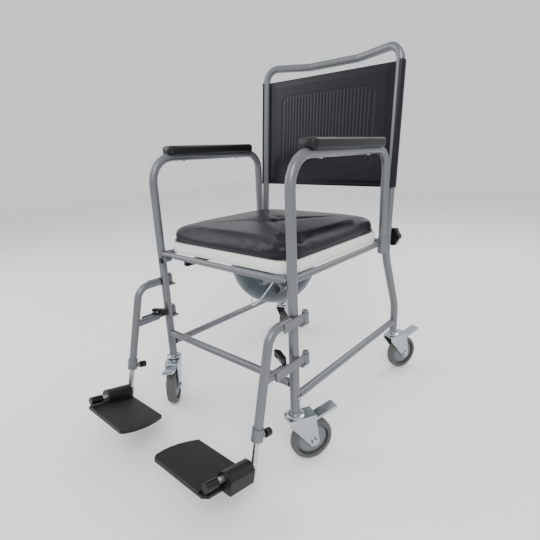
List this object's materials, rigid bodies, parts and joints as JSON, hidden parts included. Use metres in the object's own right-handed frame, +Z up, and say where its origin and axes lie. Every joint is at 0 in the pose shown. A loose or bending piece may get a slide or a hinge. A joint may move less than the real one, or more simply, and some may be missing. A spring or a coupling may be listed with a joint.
{
  "type": "commode chair",
  "caption": "Wheeled commode chair with arms, padded seat over a toilet seat and pan, vinyl backrest, braked swivel casters and swing-away footrests.",
  "frame": {"origin": "on the floor, under the middle of the whole chair's box", "axes": "+Z up, -Y the way the sitter faces, +X to the sitter's left"},
  "size_m": [0.555, 0.8798, 0.9515],
  "materials": {
    "frame_paint": "satin metallic grey paint",
    "vinyl": "padded black vinyl with a fine grain",
    "arm_pad": "moulded matt black polyurethane",
    "seat_plastic": "satin white moulding",
    "pan_plastic": "satin blue-grey moulding",
    "wire": "plated wire",
    "runner_steel": "plated sheet",
    "plate_plastic": "fine textured black moulding",
    "knob_plastic": "black moulding",
    "stem_metal": "satin",
    "zinc": "bright zinc plate",
    "wheel_plastic": "grey moulding",
    "tyre_rubber": "grey-brown elastomer"
  },
  "bodies": {
    "chair_frame": {"back_frame": "frame_paint", "side_frame_left": "frame_paint", "side_frame_right": "frame_paint", "arm_socket_left": "frame_paint", "arm_socket_right": "frame_paint", "seat_rail_front": "frame_paint", "seat_rail_rear": "frame_paint", "lower_cross_bar": "frame_paint", "seat_rail_left": "frame_paint", "seat_rail_right": "frame_paint", "lower_side_rail_left": "frame_paint", "lower_side_rail_right": "frame_paint", "backrest": "vinyl", "arm_pad_left": "arm_pad", "arm_pad_right": "arm_pad", "pan_runner_left": "runner_steel", "pan_runner_right": "runner_steel", "caster_head_front_left": "zinc", "caster_head_front_right": "zinc", "caster_head_rear_left": "zinc", "caster_head_rear_right": "zinc"},
    "star_knob_left": {"star_knob_left": "knob_plastic"},
    "star_knob_right": {"star_knob_right": "knob_plastic"},
    "toilet_seat": {"toilet_seat": "seat_plastic"},
    "seat_cushion": {"seat_cushion": "vinyl"},
    "pan": {"pan": "pan_plastic"},
    "pan_handle": {"pan_handle": "wire"},
    "footrest_left": {"hanger_left": "frame_paint"},
    "latch_left": {"latch_lever_left": "knob_plastic"},
    "clamp_left": {"clamp_knob_left": "knob_plastic"},
    "stem_left": {"footrest_stem_left": "stem_metal", "shaft_cap_left": "knob_plastic"},
    "footplate_left": {"footplate_left": "plate_plastic"},
    "footrest_right": {"hanger_right": "frame_paint"},
    "latch_right": {"latch_lever_right": "knob_plastic"},
    "clamp_right": {"clamp_knob_right": "knob_plastic"},
    "stem_right": {"footrest_stem_right": "stem_metal", "shaft_cap_right": "knob_plastic"},
    "footplate_right": {"footplate_right": "plate_plastic"},
    "caster_front_left": {"caster_fork_front_left": "zinc", "caster_axle_front_left": "zinc"},
    "wheel_front_left": {"caster_hub_front_left": "wheel_plastic", "caster_tyre_front_left": "tyre_rubber"},
    "pedal_front_left": {"brake_pedal_front_left": "zinc"},
    "caster_front_right": {"caster_fork_front_right": "zinc", "caster_axle_front_right": "zinc"},
    "wheel_front_right": {"caster_hub_front_right": "wheel_plastic", "caster_tyre_front_right": "tyre_rubber"},
    "pedal_front_right": {"brake_pedal_front_right": "zinc"},
    "caster_rear_left": {"caster_fork_rear_left": "zinc", "caster_axle_rear_left": "zinc"},
    "wheel_rear_left": {"caster_hub_rear_left": "wheel_plastic", "caster_tyre_rear_left": "tyre_rubber"},
    "pedal_rear_left": {"brake_pedal_rear_left": "zinc"},
    "caster_rear_right": {"caster_fork_rear_right": "zinc", "caster_axle_rear_right": "zinc"},
    "wheel_rear_right": {"caster_hub_rear_right": "wheel_plastic", "caster_tyre_rear_right": "tyre_rubber"},
    "pedal_rear_right": {"brake_pedal_rear_right": "zinc"}
  },
  "joints": [
    {"name": "star_knob_turn_left", "type": "hinge", "parent": "chair_frame", "child": "star_knob_left", "pos_m": [0.21816, 0.29302, 0.447], "axis": [0, 1, 0], "continuous": true},
    {"name": "star_knob_turn_right", "type": "hinge", "parent": "chair_frame", "child": "star_knob_right", "pos_m": [-0.23184, 0.29302, 0.447], "axis": [0, 1, 0], "continuous": true},
    {"name": "toilet_seat_lift", "type": "slide", "parent": "chair_frame", "child": "toilet_seat", "axis": [0, 0, 1], "range_m": [0, 0.1]},
    {"name": "cushion_lift", "type": "slide", "parent": "toilet_seat", "child": "seat_cushion", "axis": [0, 0, 1], "range_m": [0, 0.15]},
    {"name": "pan_slide", "type": "slide", "parent": "chair_frame", "child": "pan", "axis": [0, 1, 0], "range_m": [0, 0.4]},
    {"name": "pan_handle_swing", "type": "hinge", "parent": "pan", "child": "pan_handle", "pos_m": [-0.00684, 0.03302, 0.385], "axis": [0.66, -0.7513, 0], "range_deg": [-50, 110]},
    {"name": "footrest_swing_left", "type": "hinge", "parent": "chair_frame", "child": "footrest_left", "pos_m": [0.23116, -0.14698, 0.3], "axis": [0, 0, 1], "range_deg": [0, 90]},
    {"name": "latch_press_left", "type": "hinge", "parent": "footrest_left", "child": "latch_left", "pos_m": [0.22416, -0.21398, 0.278], "axis": [0, 0, 1], "range_deg": [0, 20], "stiffness_Nm_per_rad": 0.15, "springref_deg": -5.73},
    {"name": "clamp_screw_left", "type": "hinge", "parent": "footrest_left", "child": "clamp_left", "pos_m": [0.22216, -0.27297, 0.142], "axis": [0, 0.9724, -0.2334], "continuous": true},
    {"name": "stem_slide_left", "type": "slide", "parent": "footrest_left", "child": "stem_left", "axis": [0, -0.2334, -0.9724], "range_m": [-0.035, 0.055]},
    {"name": "footplate_flip_left", "type": "hinge", "parent": "stem_left", "child": "footplate_left", "pos_m": [0.20916, -0.35574, 0.09706], "axis": [0, 0.9724, -0.2334], "range_deg": [0, 90]},
    {"name": "footrest_swing_right", "type": "hinge", "parent": "chair_frame", "child": "footrest_right", "pos_m": [-0.24484, -0.14698, 0.3], "axis": [0, 0, -1], "range_deg": [0, 90]},
    {"name": "latch_press_right", "type": "hinge", "parent": "footrest_right", "child": "latch_right", "pos_m": [-0.23784, -0.21398, 0.278], "axis": [0, 0, -1], "range_deg": [0, 20], "stiffness_Nm_per_rad": 0.15, "springref_deg": -5.73},
    {"name": "clamp_screw_right", "type": "hinge", "parent": "footrest_right", "child": "clamp_right", "pos_m": [-0.23584, -0.27297, 0.142], "axis": [0, 0.9724, -0.2334], "continuous": true},
    {"name": "stem_slide_right", "type": "slide", "parent": "footrest_right", "child": "stem_right", "axis": [0, -0.2334, -0.9724], "range_m": [-0.035, 0.055]},
    {"name": "footplate_flip_right", "type": "hinge", "parent": "stem_right", "child": "footplate_right", "pos_m": [-0.22284, -0.35574, 0.09706], "axis": [0, -0.9724, 0.2334], "range_deg": [0, 90]},
    {"name": "caster_swivel_front_left", "type": "hinge", "parent": "chair_frame", "child": "caster_front_left", "pos_m": [0.21816, -0.17198, 0.121], "axis": [0, 0, 1], "continuous": true},
    {"name": "wheel_spin_front_left", "type": "hinge", "parent": "caster_front_left", "child": "wheel_front_left", "pos_m": [0.23646, -0.13755, 0.0513], "axis": [-0.8829, 0.4695, 0], "continuous": true},
    {"name": "brake_press_front_left", "type": "hinge", "parent": "caster_front_left", "child": "pedal_front_left", "pos_m": [0.236, -0.13843, 0.109], "axis": [-0.8829, 0.4695, 0], "range_deg": [0, 8]},
    {"name": "caster_swivel_front_right", "type": "hinge", "parent": "chair_frame", "child": "caster_front_right", "pos_m": [-0.23184, -0.17198, 0.121], "axis": [0, 0, 1], "continuous": true},
    {"name": "wheel_spin_front_right", "type": "hinge", "parent": "caster_front_right", "child": "wheel_front_right", "pos_m": [-0.20525, -0.2005, 0.0513], "axis": [0.7314, 0.682, 0], "continuous": true},
    {"name": "brake_press_front_right", "type": "hinge", "parent": "caster_front_right", "child": "pedal_front_right", "pos_m": [-0.20593, -0.19977, 0.109], "axis": [0.7314, 0.682, 0], "range_deg": [0, 8]},
    {"name": "caster_swivel_rear_left", "type": "hinge", "parent": "chair_frame", "child": "caster_rear_left", "pos_m": [0.21816, 0.34002, 0.121], "axis": [0, 0, 1], "continuous": true},
    {"name": "wheel_spin_rear_left", "type": "hinge", "parent": "caster_rear_left", "child": "wheel_rear_left", "pos_m": [0.23276, 0.37618, 0.0513], "axis": [-0.9272, 0.3746, 0], "continuous": true},
    {"name": "brake_press_rear_left", "type": "hinge", "parent": "caster_rear_left", "child": "pedal_rear_left", "pos_m": [0.23239, 0.37525, 0.109], "axis": [-0.9272, 0.3746, 0], "range_deg": [0, 8]},
    {"name": "caster_swivel_rear_right", "type": "hinge", "parent": "chair_frame", "child": "caster_rear_right", "pos_m": [-0.23184, 0.34002, 0.121], "axis": [0, 0, 1], "continuous": true},
    {"name": "wheel_spin_rear_right", "type": "hinge", "parent": "caster_rear_right", "child": "wheel_rear_right", "pos_m": [-0.24454, 0.37689, 0.0513], "axis": [-0.9455, -0.3256, 0], "continuous": true},
    {"name": "brake_press_rear_right", "type": "hinge", "parent": "caster_rear_right", "child": "pedal_rear_right", "pos_m": [-0.24422, 0.37595, 0.109], "axis": [-0.9455, -0.3256, 0], "range_deg": [0, 8]}
  ]
}
